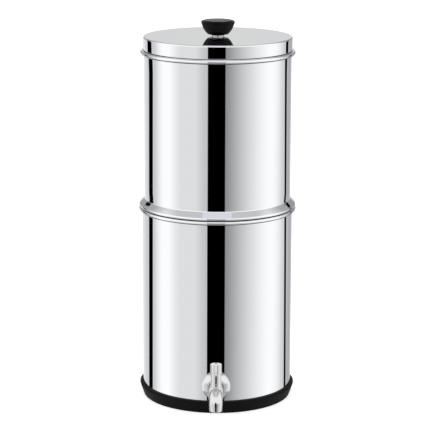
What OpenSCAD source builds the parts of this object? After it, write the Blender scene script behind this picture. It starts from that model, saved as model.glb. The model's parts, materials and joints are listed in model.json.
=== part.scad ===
// Two-chamber gravity water filter in polished stainless steel, with a tap.
// Millimetres. +Z is up, the table is at Z = 0 and the chambers' axis is the Z axis.
// The tap is on the -Y side, which is the front.

/* [Chambers] */
// Thickness of the stainless sheet
sheet = 0.8; // [0.5:0.1:1.2]
// Outside diameter of the lower chamber's wall
lower_d = 216; // [200:2:260]
// Height of the lower chamber, from its bottom to the top of its rolled rim
lower_h = 276.9; // [230:0.1:340]
// Diameter of the lower chamber's rolled rim, across the roll
lower_curl = 6.2; // [5:0.2:8]
// Gap around the upper chamber where it nests in the lower one
nest_gap = 2; // [1:0.5:4]
// Depth to which the upper chamber nests in the lower one
nest_depth = 28; // [18:1:40]
// Height of the upper chamber above the lower one's rim
upper_h = 225.5; // [215:0.5:300]
// Diameter of the upper chamber's rolled rim, across the roll
upper_curl = 6.4; // [5:0.2:8]
// Slit between the end of a rolled rim and its wall
curl_slit = 0.9; // [0.5:0.1:1.5]
// Outside radius of the rounded corner at each chamber's bottom
corner_r = 6; // [4:0.5:10]

/* [Ridge] */
// How far the pressed ridge stands out from the upper chamber's wall
ridge_out = 7.7; // [6:0.1:10]
// Height of the ridge's rounded nose
ridge_edge = 5; // [3.5:0.1:7]
// Angle of the ridge's upper slope, from level
ridge_slope = 46; // [35:1:55]

/* [Base ring] */
// Height of the rubber base ring
ring_h = 18.2; // [14:0.1:24]
// Rubber under the chamber's bottom
ring_floor = 4; // [3:0.5:6]
// How far the ring stands out from the wall near its top
ring_out = 4.5; // [3:0.1:6]
// How much the ring narrows towards the table, on its radius
ring_taper = 5.4; // [2:0.1:6]
// Width of the ledge under the chamber
ring_ledge = 14; // [10:1:24]

/* [Lid] */
// Gap between the lid's inner lip and the upper chamber's wall
lid_gap = 1; // [0.5:0.1:2]
// How far the lid's skirt stands out from the upper chamber's wall
lid_out = 1.2; // [0.8:0.1:2]
// Height of the lid above the upper rim
lid_h = 19.4; // [14:0.1:30]
// Depth of the lip that goes into the upper chamber
lid_lip = 9; // [5:1:14]
// Outside radius of the lid's top edge
lid_r = 2.2; // [1.5:0.1:4]

/* [Knob] */
// Diameter of the knob's rim
knob_d = 47.6; // [40:0.2:60]
// Height of the knob
knob_h = 18.9; // [15:0.1:26]
// Height of the knob's straight rim
knob_rim = 3.8; // [2:0.1:6]
// Diameter of the knob's underside
knob_foot_d = 29; // [24:0.5:34]
// Bulge of the knob's side, from a straight cone
knob_bulge = 1.4; // [0.8:0.1:2.5]
// Diameter of the raised disc on top of the knob
knob_disc_d = 41; // [34:0.5:46]
// Height of the raised disc above the knob's rim
knob_disc_h = 0.9; // [0.5:0.1:2]
// Diameter of the metal spacer under the knob
spacer_d = 17.6; // [15:0.2:24]
// Height of the metal spacer under the knob
spacer_h = 2.8; // [2:0.1:6]
// Thread diameter of the knob's screw
knob_screw_d = 5; // [4:0.5:6]

/* [Filters] */
// Diameter of a filter's carbon block
block_d = 66; // [50:1:72]
// Height of a filter's carbon block
block_h = 190; // [120:5:200]
// Bore of a filter's carbon block
block_bore = 14; // [8:1:24]
// Height of the moulded cap on a filter
cap_h = 9; // [6:1:14]
// Height of the moulded base of a filter
base_h = 12; // [9:1:16]
// Distance of each filter and each plug from the chambers' axis
spread = 48; // [46:1:56]
// Thread diameter of the filter stems and of the blanking plugs
stem_d = 12; // [10:0.5:14]
// Length of a filter stem below its base
stem_len = 32; // [26:1:40]
// Bore of a filter stem
stem_bore = 6; // [4:0.5:7]
// Gap around each stem in its hole in the chamber's bottom
stem_gap = 0.4; // [0.2:0.1:1]
// Thickness of the silicone washers on the chamber's bottom
washer_t = 3; // [2:0.5:5]
// Diameter of the silicone washers on the chamber's bottom
washer_d = 30; // [26:1:36]
// Height of a wing nut's hub
nut_h = 12; // [8:1:14]
// Diameter of a wing nut's hub
nut_hub_d = 20; // [18:1:26]
// Span of a wing nut across its wings
nut_span = 44; // [34:1:50]
// Thickness of a wing
wing_t = 3.5; // [2:0.5:5]

/* [Tap] */
// Height of the tap's barrel above the table
tap_z = 41.4; // [36:0.2:60]
// Distance of the tap's spindle from the lower chamber's wall
tap_reach = 30; // [28:1:40]
// Outside diameter of the barrel and of the bend of the spout
barrel_d = 20; // [18.5:0.1:24]
// Straight length of barrel past the spindle's axis, before the bend
bend_lead = 2; // [1.5:0.5:8]
// Radius of the spout's bend, on its centre line
bend_r = 13.5; // [13:0.5:18]
// Outside diameter of the spout's outlet
outlet_d = 17.9; // [16:0.1:20]
// Height of the outlet above the table
outlet_z = 18.6; // [10:0.2:20]
// Bore of the spout's outlet
outlet_bore = 13; // [10.5:0.5:14]
// Bore of the water passage in the tap
tap_bore = 9; // [7:0.5:9.5]
// Thread diameter of the tap's shank
shank_d = 15.8; // [14:0.1:18]
// Length of shank inside the lower chamber's wall
shank_in = 19; // [16:1:30]
// Gap around the shank in its hole in the wall
shank_gap = 0.3; // [0.2:0.1:1]
// Diameter of the tap's wall flange
flange_d = 40.2; // [34:0.2:50]
// Depth of the wall flange's dome
flange_h = 7; // [5:0.5:10]
// Thickness of the flange's wall
flange_t = 1.2; // [1:0.1:2]
// Thickness of the silicone gaskets on both sides of the wall, at the middle
gasket_t = 2.6; // [2.4:0.1:4]
// Diameter of the gasket inside the chamber
inner_gasket_d = 28; // [24:1:34]
// Width of the tap's hexagon nut, across the flats
tap_nut_af = 24; // [21:1:30]
// Height of the tap's hexagon nut
tap_nut_h = 7; // [5:0.5:9]

/* [Valve] */
// Diameter of the plug in the tap's body
plug_d = 12; // [10.5:0.5:13]
// Running clearance around the plug and the spindle, on the radius
run_gap = 0.05; // [0.02:0.01:0.1]
// Diameter of the spindle above the plug
spindle_d = 8; // [7:0.5:8.5]
// Outside diameter of the bonnet's neck
neck_d = 14.6; // [12.6:0.2:15.6]
// Height of the boss on the barrel that takes the bonnet
boss_h = 3; // [2:0.1:6]
// Height of the bonnet's neck
neck_h = 13.8; // [12:0.1:24]
// Gap between the neck and the cap's skirt
groove_h = 0.5; // [0.3:0.1:1.5]
// Depth of the cap's skirt, which turns on the bonnet's spigot
skirt_h = 4; // [3:0.1:6]
// Thickness of the cap's skirt
skirt_t = 1.6; // [1.2:0.1:2]
// Height of the notch in the skirt that lets the cap make a quarter turn
notch_h = 2.2; // [2:0.1:3]
// Diameter of the pin that stops the cap at both ends of the notch
stop_pin_d = 1.6; // [1.2:0.1:1.8]
// Section of each O-ring
oring_t = 1.5; // [1:0.1:1.8]
// Diameter of the tap's cap
tap_cap_d = 16; // [15:0.2:20]
// Height of the tap's cap
tap_cap_h = 13.5; // [12:0.1:18]
// Width of the square on top of the spindle
square_w = 5; // [4:0.1:5.2]
// Length of the lever, from the spindle's axis to its tip
lever_len = 30; // [26:1:60]
// Thickness of the lever
lever_t = 3.2; // [2.6:0.1:5]
// Height of the lever's blade
lever_h = 4.8; // [4:0.2:6]
// How far the lever's tip droops
lever_drop = 5; // [3:0.5:10]
// Diameter of the lever's pin
pin_d = 2; // [1.5:0.1:2.2]

/* [Hidden] */
$fn = 96;

steel = "#c9cbcd";
satin_steel = "#b4b6b8";
black_rubber = "#141414";
black_plastic = "#1a1a1b";
carbon = "#262524";
silicone = "#e6e6e2";
white_nylon = "#ecebe6";
brass = "#c8a04e";

seat_gap = 0.3;      // between curved faces of pieces that come apart
face_gap = 0.1;      // between curved faces of pieces that stay together
fit_gap = 0.05;      // around pins, inserts and threads that stay where they are
over = 1;            // how far a cutting shape runs past a face
wall_fn = 720;       // steps around a cut that must follow a chamber's wall closely

// radii of the two chambers
lower_ro = lower_d / 2;
lower_ri = lower_ro - sheet;
upper_ro = lower_ri - nest_gap;
upper_ri = upper_ro - sheet;

// heights from the table
lower_z = ring_floor;
lower_rim_z = lower_z + lower_h;
ridge_z = lower_rim_z + seat_gap;
upper_z = lower_rim_z - nest_depth;
upper_rim_z = lower_rim_z + upper_h;
upper_floor_z = upper_z + sheet;
skirt_z = upper_rim_z + seat_gap;
lid_top_z = upper_rim_z + lid_h;
knob_z = lid_top_z + spacer_h;

// pressed ridge of the upper chamber
ridge_ro = upper_ro + ridge_out;
nose_r = ridge_edge / 2;
nose_c = [ridge_ro - nose_r, ridge_z + nose_r];
function slope_touch(t) = nose_c + (nose_r - t) * [sin(ridge_slope), cos(ridge_slope)];
function slope_top(t) =
    let (p = slope_touch(t)) [upper_ro - t, p[1] + (p[0] - upper_ro + t) * tan(ridge_slope)];

// lid
lid_ro = upper_ro + lid_out;
lip_ro = upper_ri - lid_gap;
screw_head_h = knob_screw_d * 0.6;
screw_head_d = knob_screw_d * 1.9;
spring_washer_t = knob_screw_d * 0.24;
screw_fit = 0.1;
insert_d = knob_screw_d + 5;
insert_h = knob_h * 0.6;
screw_len = spring_washer_t + sheet + spacer_h + insert_h * 0.8;

// knob side, an arc through the foot and the rim
knob_side_a = [knob_foot_d / 2, 0];
knob_side_b = [knob_d / 2 - 0.5, knob_h - knob_rim];
knob_chord = norm(knob_side_b - knob_side_a);
knob_side_r = (knob_chord * knob_chord / 4 + knob_bulge * knob_bulge) / (2 * knob_bulge);
knob_chord_angle = atan2(knob_side_b[1] - knob_side_a[1], knob_side_b[0] - knob_side_a[0]);
knob_side_c = (knob_side_a + knob_side_b) / 2
    + (knob_side_r - knob_bulge) * [-sin(knob_chord_angle), cos(knob_chord_angle)];
knob_edge_r = 1;

// filters and plugs on the upper chamber's bottom
filter_d = block_d + 3;
washer_top_z = upper_floor_z + washer_t;
block_z = washer_top_z + base_h;
socket_h = 4;
cap_socket_h = 3;
plug_head_h = 5;
stem_r = stem_d / 2;

// tap, in its own frame: axis_y is the spindle's place on Y
axis_y = -lower_ro - tap_reach;
barrel_r = barrel_d / 2;
flange_rim = 2;
flange_back_y = -lower_ro - gasket_t;
shank_end_y = -lower_ri + shank_in;
bend_y = axis_y - bend_lead;
spout_y = bend_y - bend_r;
bend_z = tap_z - bend_r;
chamber_floor_z = tap_z - tap_bore / 2 - 1.8;
plug_floor_z = chamber_floor_z + seat_gap;
boss_top_z = tap_z + barrel_r + boss_h;
thread_d = plug_d + 1;
boss_d = thread_d + 2.6;
thread_h = 4;
seal_t = 1;
plug_top_z = boss_top_z - thread_h - seal_t - seat_gap;
neck_top_z = boss_top_z + neck_h;
cap_z = neck_top_z + groove_h;
cap_top_z = cap_z + tap_cap_h;
cap_bevel = 0.9;
spigot_r = tap_cap_d / 2 - skirt_t - seat_gap;
spigot_h = groove_h + skirt_h - seat_gap;
square_z = cap_z + skirt_h;
square_h = 3.5;
lever_top_z = cap_top_z + 0.2;
lever_seat_z = lever_top_z - lever_h;
lever_back = tap_cap_d / 2 - 0.6;
pin_z = lever_seat_z + lever_h / 2;
oring_pitch = neck_h * 0.35;
stop_angle = 270;
stop_play = 3;
stop_pin_in = (spindle_d / 2 + spigot_r) / 2;
notch_r = tap_cap_d / 2 - skirt_t / 2;
notch_side = stop_play + asin(stop_pin_d / 2 / notch_r);
stop_z = cap_z + notch_h / 2;

// A rolled rim: the sheet curls outwards from the wall's inside face.
module rim_curl(ri, d, rim_z) {
    c = [ri + d / 2, rim_z - d / 2];
    difference() {
        translate(c) circle(d = d);
        translate(c) circle(d = d - 2 * sheet);
        translate([ri + sheet, rim_z - d - over]) square([curl_slit, d / 2 + over]);
    }
}

// Half section of a chamber's round-cornered bottom, centred on the axis.
module pan_section(ro, z) {
    square_top = z + corner_r;
    translate([0, z]) square([ro - corner_r, sheet]);
    intersection() {
        difference() {
            translate([ro - corner_r, square_top]) circle(r = corner_r);
            translate([ro - corner_r, square_top]) circle(r = corner_r - sheet);
        }
        translate([ro - corner_r, z - over]) square([corner_r + over, corner_r + over]);
    }
}

// Everything inside the upper chamber's ridge, set in from its outside by t.
module ridge_area(t) {
    top = slope_top(t);
    polygon([[upper_ri - over, ridge_z + t], [nose_c[0], ridge_z + t], nose_c,
             slope_touch(t), top, [upper_ri - over, top[1]]]);
    translate(nose_c) circle(r = nose_r - t);
}

module base_ring() {
    seat_r = lower_ro + face_gap;
    color(black_rubber)
    rotate_extrude() difference() {
        ring_section();
        translate([0, lower_z]) square([seat_r - corner_r, corner_r]);
        translate([seat_r - corner_r, lower_z + corner_r]) circle(r = corner_r);
        translate([0, lower_z + corner_r]) square([seat_r, ring_h]);
    }
}

// Outline of the base ring, before the chamber's seat is cut from it.
module ring_section() {
    edge_r = 2.6;
    foot_r = 1;
    out_r = lower_ro + ring_out;
    wide_z = ring_h - edge_r;
    polygon([[lower_ro - ring_ledge, 0], [out_r - ring_taper - foot_r, 0],
             [out_r - ring_taper, foot_r], [out_r, wide_z],
             [out_r - edge_r, wide_z], [out_r - edge_r, ring_h], [lower_ro - ring_ledge, ring_h]]);
    translate([out_r - edge_r, wide_z]) circle(r = edge_r);
    translate([out_r - ring_taper - foot_r, foot_r]) circle(r = foot_r);
}

module lower_chamber() {
    color(steel)
    difference() {
        rotate_extrude() {
            pan_section(lower_ro, lower_z);
            translate([lower_ri, lower_z + corner_r])
                square([sheet, lower_h - corner_r - lower_curl / 2]);
            rim_curl(lower_ri, lower_curl, lower_rim_z);
        }
        // hole for the tap's shank
        translate([0, 0, tap_z]) rotate([90, 0, 0])
            cylinder(d = shank_d + 2 * shank_gap, h = lower_ro + over);
    }
}

// The upper chamber from its ridge up: the wall and its rolled rim.
module upper_chamber() {
    wall_z = slope_top(0)[1];
    color(steel)
    rotate_extrude() {
        translate([upper_ri, wall_z]) square([sheet, upper_rim_z - upper_curl / 2 - wall_z]);
        rim_curl(upper_ri, upper_curl, upper_rim_z);
    }
}

// The ridge pressed out of the upper chamber's wall, which stands on the lower chamber.
module upper_chamber_ridge() {
    color(steel)
    rotate_extrude() intersection() {
        difference() {
            ridge_area(0);
            ridge_area(sheet);
        }
        translate([upper_ri, ridge_z - over]) square([ridge_out + 2 * over, upper_h]);
    }
}

// The round-cornered pan below the ridge, which nests in the lower chamber.
module upper_chamber_pan() {
    color(steel)
    difference() {
        rotate_extrude() {
            pan_section(upper_ro, upper_z);
            translate([upper_ri, upper_z + corner_r])
                square([sheet, ridge_z - upper_z - corner_r]);
        }
        // holes for two filters and two blanking plugs
        for (a = [0, 90, 180, 270])
            rotate(a) translate([spread, 0, upper_z - over])
                cylinder(r = stem_r + stem_gap, h = sheet + 2 * over);
    }
}

module lid() {
    in_r = lid_r - sheet;
    color(steel)
    rotate_extrude() {
        // flat top, with a hole for the knob's screw
        translate([knob_screw_d / 2 + screw_fit, lid_top_z - sheet])
            square([lid_ro - lid_r - knob_screw_d / 2 - screw_fit, sheet]);
        intersection() {
            difference() {
                translate([lid_ro - lid_r, lid_top_z - lid_r]) circle(r = lid_r);
                translate([lid_ro - lid_r, lid_top_z - lid_r]) circle(r = in_r);
            }
            translate([lid_ro - lid_r, lid_top_z - lid_r]) square(lid_r + over);
        }
        // skirt, the step that rests over the rim, and the lip inside the chamber
        translate([lid_ro - sheet, skirt_z]) square([sheet, lid_top_z - lid_r - skirt_z]);
        translate([lip_ro - sheet, skirt_z]) square([lid_ro - lip_ro + sheet, sheet]);
        translate([lip_ro - sheet, skirt_z - lid_lip]) square([sheet, lid_lip + sheet]);
    }
}

module lid_knob() {
    rim_z = knob_h - knob_rim;
    color(black_plastic)
    translate([0, 0, knob_z]) difference() {
        rotate_extrude() {
            intersection() {
                translate(knob_side_c) circle(r = knob_side_r);
                square([knob_d, rim_z]);
                polygon([[0, 0], knob_side_a, [knob_d, rim_z / 3], [knob_d, rim_z], [0, rim_z]]);
            }
            translate([0, rim_z]) square([knob_d / 2, knob_rim - knob_edge_r]);
            translate([0, rim_z]) square([knob_d / 2 - knob_edge_r, knob_rim]);
            translate([knob_d / 2 - knob_edge_r, knob_h - knob_edge_r]) circle(r = knob_edge_r);
            translate([0, knob_h]) square([knob_disc_d / 2, knob_disc_h]);
        }
        // pocket for the threaded insert
        translate([0, 0, -over]) cylinder(r = insert_d / 2 + fit_gap, h = insert_h + fit_gap + over);
        // shallow moat around the disc
        translate([0, 0, knob_h - 0.5]) difference() {
            cylinder(d = knob_disc_d + 1.6, h = over);
            translate([0, 0, -over]) cylinder(d = knob_disc_d, h = 3 * over);
        }
    }
}

module knob_insert() {
    color(brass)
    translate([0, 0, knob_z]) difference() {
        cylinder(d = insert_d, h = insert_h);
        translate([0, 0, -over]) cylinder(r = knob_screw_d / 2 + fit_gap, h = insert_h + 2 * over);
    }
}

module knob_spacer() {
    color(satin_steel)
    translate([0, 0, lid_top_z]) difference() {
        union() {
            cylinder(d = spacer_d, h = spacer_h * 0.6);
            cylinder(d = spacer_d - 4, h = spacer_h);
        }
        translate([0, 0, -over])
            cylinder(d = knob_screw_d + 2 * screw_fit, h = spacer_h + 2 * over);
    }
}

module knob_spring_washer() {
    color(satin_steel)
    translate([0, 0, lid_top_z - sheet - spring_washer_t]) difference() {
        cylinder(d = screw_head_d, h = spring_washer_t);
        translate([0, 0, -over])
            cylinder(d = knob_screw_d + 2 * screw_fit, h = spring_washer_t + 2 * over);
        // the split
        translate([0, -spring_washer_t / 2, -over])
            cube([screw_head_d, spring_washer_t, spring_washer_t + 2 * over]);
    }
}

module knob_screw() {
    head_z = lid_top_z - sheet - spring_washer_t;
    slot_w = knob_screw_d / 5;
    color(satin_steel)
    difference() {
        union() {
            translate([0, 0, head_z - screw_head_h]) cylinder(d = screw_head_d, h = screw_head_h);
            translate([0, 0, head_z - over / 2]) cylinder(d = knob_screw_d, h = screw_len + over / 2);
        }
        // cross recess
        for (a = [0, 90])
            rotate(a) translate([-knob_screw_d / 2, -slot_w / 2, head_z - screw_head_h - over])
                cube([knob_screw_d, slot_w, screw_head_h / 2 + over]);
    }
}

// One filter's parts. side is -1 for the left filter and 1 for the right one.
module filter_block(side) {
    color(carbon)
    translate([side * spread, 0, block_z]) difference() {
        cylinder(d = block_d, h = block_h);
        translate([0, 0, -over]) cylinder(d = block_bore, h = block_h + 2 * over);
    }
}

module filter_cap(side) {
    color(black_plastic)
    translate([side * spread, 0, block_z + block_h]) rotate_extrude() difference() {
        union() {
            translate([0, -cap_socket_h]) square([filter_d / 2, cap_h + cap_socket_h - 2]);
            translate([0, 0]) square([filter_d / 2 - 2, cap_h]);
            translate([filter_d / 2 - 2, cap_h - 2]) circle(r = 2);
        }
        translate([0, -cap_socket_h - over]) square([block_d / 2 + face_gap, cap_socket_h + over]);
    }
}

module filter_base(side) {
    color(black_plastic)
    translate([side * spread, 0, 0]) difference() {
        union() {
            translate([0, 0, washer_top_z]) cylinder(d = filter_d, h = base_h + socket_h);
            translate([0, 0, washer_top_z - stem_len]) cylinder(r = stem_r, h = stem_len + over);
        }
        // socket for the block, and the water passage through the stem
        translate([0, 0, block_z]) cylinder(r = block_d / 2 + face_gap, h = socket_h + over);
        translate([0, 0, washer_top_z - stem_len - over])
            cylinder(d = stem_bore, h = stem_len + base_h + 2 * over);
    }
}

// A blanking plug, which closes a hole that has no filter.
module blanking_plug(side) {
    color(black_plastic)
    translate([0, side * spread, 0]) {
        translate([0, 0, washer_top_z]) rotate_extrude() {
            square([washer_d / 2 - 1, plug_head_h]);
            square([washer_d / 2, plug_head_h - 1]);
            translate([washer_d / 2 - 1, plug_head_h - 1]) circle(r = 1);
        }
        translate([0, 0, plug_end_z()]) cylinder(r = stem_r, h = washer_top_z - plug_end_z() + over);
    }
}
function plug_end_z() = upper_z - nut_h - 3;

// A silicone washer on the upper chamber's bottom, around a stem at x, y.
module floor_washer(x, y) {
    color(silicone)
    translate([x, y, upper_floor_z]) difference() {
        cylinder(d = washer_d, h = washer_t);
        translate([0, 0, -over]) cylinder(r = stem_r + face_gap, h = washer_t + 2 * over);
    }
}

// A wing nut under the upper chamber's bottom, around a stem at x, y.
module wing_nut(x, y) {
    wing_h = nut_h - 2;
    color(white_nylon)
    translate([x, y, upper_z - nut_h]) difference() {
        union() {
            cylinder(d = nut_hub_d, h = nut_h);
            translate([0, 0, nut_h - 2]) cylinder(d = washer_d - 2, h = 2);
            for (s = [-1, 1]) rotate([90, 0, 0]) translate([0, 0, -wing_t / 2])
                linear_extrude(wing_t) {
                    wing_r = 4;
                    polygon([[0, 2], [s * (nut_span / 2 - wing_r), 0],
                             [s * nut_span / 2, wing_r], [s * washer_d / 2, wing_h], [0, wing_h]]);
                    translate([s * (nut_span / 2 - wing_r), wing_r]) circle(r = wing_r);
                }
        }
        translate([0, 0, -over]) cylinder(r = stem_r + face_gap, h = nut_h + 2 * over);
    }
}

// A length of round bar or bore along the tap's barrel, between two places on Y.
module along_barrel(d, y_from, y_to) {
    translate([0, max(y_from, y_to), tap_z]) rotate([90, 0, 0])
        cylinder(d = d, h = abs(y_from - y_to));
}

// The bend of the spout as a round bar: out along the barrel, then down.
module spout_bend(r) {
    translate([0, bend_y, bend_z]) rotate([0, -90, 180]) rotate_extrude(angle = 90)
        translate([bend_r, 0]) circle(r = r);
}

module tap_body() {
    color(steel)
    difference() {
        union() {
            along_barrel(shank_d, shank_end_y, flange_back_y);
            along_barrel(barrel_d, flange_back_y, bend_y);
            spout_bend(barrel_r);
            translate([0, spout_y, outlet_z])
                cylinder(d1 = outlet_d, d2 = barrel_d, h = bend_z - outlet_z);
            translate([0, axis_y, tap_z]) cylinder(d = boss_d, h = boss_top_z - tap_z);
        }
        // water passage
        along_barrel(tap_bore, shank_end_y + over, bend_y);
        spout_bend(tap_bore / 2);
        translate([0, spout_y, outlet_z - over])
            cylinder(d1 = outlet_bore, d2 = tap_bore, h = bend_z - outlet_z + over);
        // bore for the plug, and the wider thread for the bonnet
        translate([0, axis_y, chamber_floor_z])
            cylinder(r = plug_d / 2, h = boss_top_z - chamber_floor_z + over);
        translate([0, axis_y, boss_top_z - thread_h - seal_t])
            cylinder(r = thread_d / 2 + fit_gap, h = thread_h + seal_t + over);
    }
}

module tap_flange() {
    hub_r = barrel_r + 2;
    rim_r = flange_d / 2;
    color(steel)
    translate([0, flange_back_y, tap_z]) rotate([90, 0, 0]) rotate_extrude() difference() {
        flange_dome(rim_r, hub_r, 0);
        flange_dome(rim_r, hub_r, flange_t);
        translate([-over, -over]) square([barrel_r + face_gap + over, flange_h + 2 * over]);
    }
}

// The flange's domed half section, set in from its outside by t.
module flange_dome(rim_r, hub_r, t) {
    dome_r = (pow(rim_r - hub_r, 2) + pow(flange_h - flange_rim, 2)) / (2 * (flange_h - flange_rim));
    translate([0, t == 0 ? 0 : -over]) square([rim_r - t, flange_rim + (t == 0 ? 0 : over)]);
    square([hub_r, flange_h - t]);
    intersection() {
        translate([hub_r, flange_h - dome_r]) circle(r = dome_r - t);
        translate([hub_r - over, 0]) square([rim_r - t - hub_r + over, flange_h]);
    }
}

module tap_outer_gasket() {
    gasket_d = flange_d - 2 * flange_t - 2;
    color(silicone)
    difference() {
        along_barrel(gasket_d, -lower_ro + gasket_d / 4, flange_back_y);
        along_barrel(shank_d + 2 * face_gap, 0, flange_back_y - over);
        cylinder(r = lower_ro + face_gap, h = 2 * tap_z, $fn = wall_fn);
    }
}

module tap_inner_gasket() {
    color(silicone)
    difference() {
        intersection() {
            along_barrel(inner_gasket_d, -lower_ri + gasket_t, -lower_ro);
            cylinder(r = lower_ri - face_gap, h = 2 * tap_z, $fn = wall_fn);
        }
        along_barrel(shank_d + 2 * face_gap, 0, -lower_ro - over);
    }
}

module tap_nut() {
    nut_y = -lower_ri + gasket_t;
    color(satin_steel)
    difference() {
        union() {
            translate([0, nut_y + tap_nut_h, tap_z]) rotate([90, 0, 0]) rotate(30)
                cylinder(d = tap_nut_af / cos(30), h = tap_nut_h, $fn = 6);
            along_barrel(inner_gasket_d, nut_y + 1.5, nut_y);
        }
        along_barrel(shank_d + 2 * face_gap, nut_y + tap_nut_h + over, nut_y - over);
    }
}

module tap_bonnet() {
    color(steel)
    translate([0, axis_y, boss_top_z]) difference() {
        union() {
            cylinder(d = neck_d, h = neck_h);
            cylinder(r = spigot_r, h = neck_h + spigot_h);
            translate([0, 0, -thread_h]) cylinder(d = thread_d, h = thread_h + over);
        }
        translate([0, 0, -thread_h - over])
            cylinder(r = spindle_d / 2 + run_gap, h = thread_h + neck_h + spigot_h + 2 * over);
        // hole for the stop pin
        translate([0, 0, stop_z - boss_top_z]) rotate([0, 90, stop_angle]) translate([0, 0, stop_pin_in])
            cylinder(r = stop_pin_d / 2 + fit_gap, h = spigot_r);
    }
}

// The pin in the bonnet's spigot that the ends of the cap's notch meet.
module stop_pin() {
    color(satin_steel)
    translate([0, axis_y, stop_z]) rotate([0, 90, stop_angle]) translate([0, 0, stop_pin_in])
        cylinder(d = stop_pin_d, h = tap_cap_d / 2 - 0.2 - stop_pin_in);
}

// The flat seal that the bonnet's thread presses into the body.
module bonnet_seal() {
    color(silicone)
    translate([0, axis_y, boss_top_z - thread_h - seal_t]) difference() {
        cylinder(d = thread_d, h = seal_t);
        translate([0, 0, -over]) cylinder(r = spindle_d / 2 + seat_gap, h = seal_t + 2 * over);
    }
}

module tap_spindle() {
    color(satin_steel)
    translate([0, axis_y, 0]) difference() {
        union() {
            translate([0, 0, plug_floor_z])
                cylinder(r = plug_d / 2 - run_gap, h = plug_top_z - plug_floor_z);
            translate([0, 0, plug_top_z - over])
                cylinder(d = spindle_d, h = square_z - plug_top_z + over);
            translate([-square_w / 2, -square_w / 2, square_z - over])
                cube([square_w, square_w, square_h + over]);
        }
        // cross bore, shut at rest and in line with the barrel after a quarter turn
        translate([-plug_d, 0, tap_z]) rotate([0, 90, 0])
            cylinder(d = tap_bore - 1, h = 2 * plug_d);
        // grooves for the O-rings
        for (z = oring_heights()) translate([0, 0, z - oring_t / 2]) difference() {
            cylinder(d = spindle_d + over, h = oring_t);
            translate([0, 0, -over]) cylinder(d = spindle_d - 2 * oring_t, h = oring_t + 2 * over);
        }
    }
}
function oring_heights() = [for (i = [1, 2]) boss_top_z + i * oring_pitch];

module spindle_o_rings() {
    section_r = oring_t / 2 - 0.02;
    color(black_rubber)
    translate([0, axis_y, 0])
        for (z = oring_heights()) translate([0, 0, z]) rotate_extrude()
            translate([spindle_d / 2 - oring_t / 2, 0]) circle(r = section_r);
}

module tap_cap() {
    slot_w = lever_t + 2 * face_gap;
    socket_w = square_w + 2 * fit_gap;
    color(steel)
    translate([0, axis_y, cap_z]) difference() {
        union() {
            cylinder(d = tap_cap_d, h = tap_cap_h - cap_bevel);
            translate([0, 0, tap_cap_h - cap_bevel])
                cylinder(d1 = tap_cap_d, d2 = tap_cap_d - 2 * cap_bevel, h = cap_bevel);
        }
        // room for the bonnet's spigot, and the notch that the stop pin stands in
        translate([0, 0, -over]) cylinder(r = tap_cap_d / 2 - skirt_t, h = skirt_h + over);
        rotate(stop_angle - 90 - notch_side) translate([0, 0, -over])
            rotate_extrude(angle = 90 + 2 * notch_side)
                square([tap_cap_d, notch_h + over]);
        // square socket for the spindle
        translate([-socket_w / 2, -socket_w / 2, skirt_h - over])
            cube([socket_w, socket_w, square_h + fit_gap + over]);
        // slot for the lever, open at the front
        translate([-slot_w / 2, -tap_cap_d, lever_seat_z - cap_z])
            cube([slot_w, tap_cap_d + lever_back, lever_h + over]);
        // hole for the lever's pin
        translate([-tap_cap_d, 0, pin_z - cap_z]) rotate([0, 90, 0])
            cylinder(r = pin_d / 2 + fit_gap, h = 2 * tap_cap_d);
    }
}

module tap_lever() {
    front = tap_cap_d / 2;
    tip_r = lever_h / 2;
    tip = [lever_len - tip_r, lever_top_z - lever_drop - tip_r];
    fall = atan2(lever_drop, lever_len - tip_r - front);
    color(steel)
    translate([0, axis_y, 0]) difference() {
        rotate([90, 0, -90]) translate([0, 0, -lever_t / 2]) linear_extrude(lever_t) {
            // straight in the cap's slot, then falling to a round tip
            translate([-lever_back, lever_seat_z]) square([lever_back + front, lever_h]);
            polygon([[front, lever_seat_z], tip - tip_r * [sin(fall), cos(fall)],
                     tip + tip_r * [sin(fall), cos(fall)], [front, lever_top_z]]);
            translate(tip) circle(r = tip_r);
        }
        translate([-tap_cap_d, 0, pin_z]) rotate([0, 90, 0])
            cylinder(r = pin_d / 2 + fit_gap, h = 2 * tap_cap_d);
    }
}

module tap_lever_pin() {
    color(satin_steel)
    translate([-tap_cap_d / 2 + 0.4, axis_y, pin_z]) rotate([0, 90, 0])
        cylinder(d = pin_d, h = tap_cap_d - 0.8);
}

base_ring();
lower_chamber();
upper_chamber();
upper_chamber_ridge();
upper_chamber_pan();
lid();
lid_knob();
knob_insert();
knob_spacer();
knob_screw();
knob_spring_washer();
filter_block(-1);  // filter_block_left
filter_block(1);  // filter_block_right
filter_cap(-1);  // filter_cap_left
filter_cap(1);  // filter_cap_right
filter_base(-1);  // filter_base_left
filter_base(1);  // filter_base_right
floor_washer(-spread, 0);  // filter_washer_left
floor_washer(spread, 0);  // filter_washer_right
wing_nut(-spread, 0);  // filter_wing_nut_left
wing_nut(spread, 0);  // filter_wing_nut_right
blanking_plug(-1);  // blanking_plug_front
blanking_plug(1);  // blanking_plug_back
floor_washer(0, -spread);  // plug_washer_front
floor_washer(0, spread);  // plug_washer_back
wing_nut(0, -spread);  // plug_wing_nut_front
wing_nut(0, spread);  // plug_wing_nut_back
tap_body();
tap_flange();
tap_outer_gasket();
tap_inner_gasket();
tap_nut();
tap_bonnet();
bonnet_seal();
stop_pin();
tap_spindle();
spindle_o_rings();
tap_cap();
tap_lever();
tap_lever_pin();
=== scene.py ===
import json
from math import acos, asin, atan2, ceil, cos, pi, radians, sin, tan

import bmesh
import bpy
from mathutils import Matrix, Vector


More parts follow.
